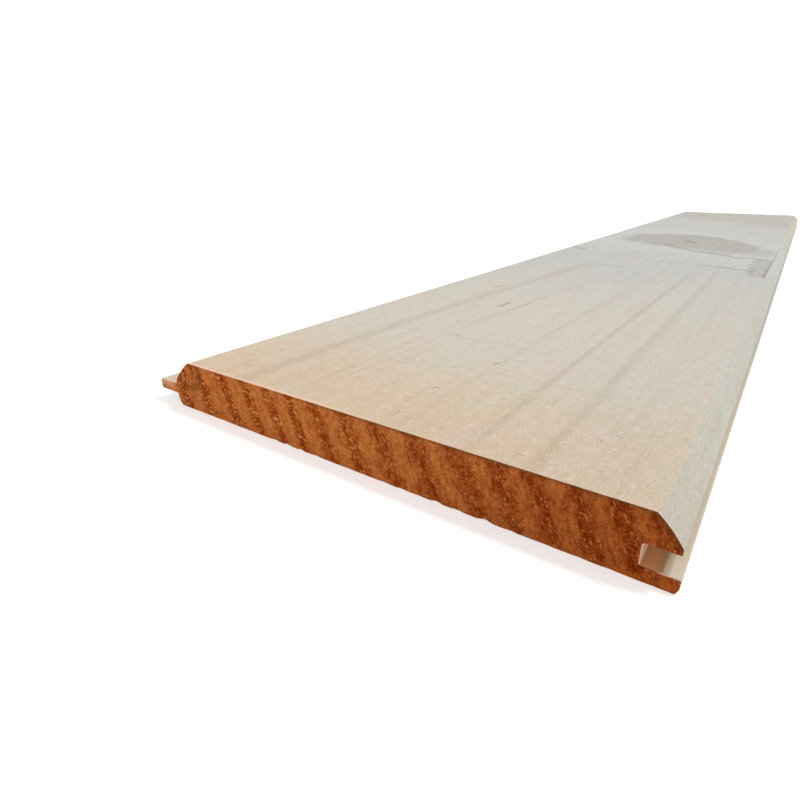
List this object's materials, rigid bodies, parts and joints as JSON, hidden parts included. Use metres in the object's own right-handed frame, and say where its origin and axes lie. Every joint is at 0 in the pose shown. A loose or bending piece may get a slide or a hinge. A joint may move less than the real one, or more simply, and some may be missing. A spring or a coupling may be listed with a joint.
{
  "type": "wood ceiling panelling board",
  "caption": "Flat softwood lining board with a tongue along one edge, a groove along the other and a V-shaped bevel at both face edges, sawn square at the ends.",
  "frame": {"origin": "centre of the board's bounding box, on the plane of its back", "axes": "+X across the board from the tongue towards the groove, +Y along the board, +Z out of the face that shows in the room; the board lies on its back at z = 0"},
  "size_m": [0.1468, 0.786, 0.0145],
  "materials": {
    "pine": "planed, uncoated"
  },
  "bodies": {
    "root": {"ceiling_board": "pine"}
  },
  "joints": []
}
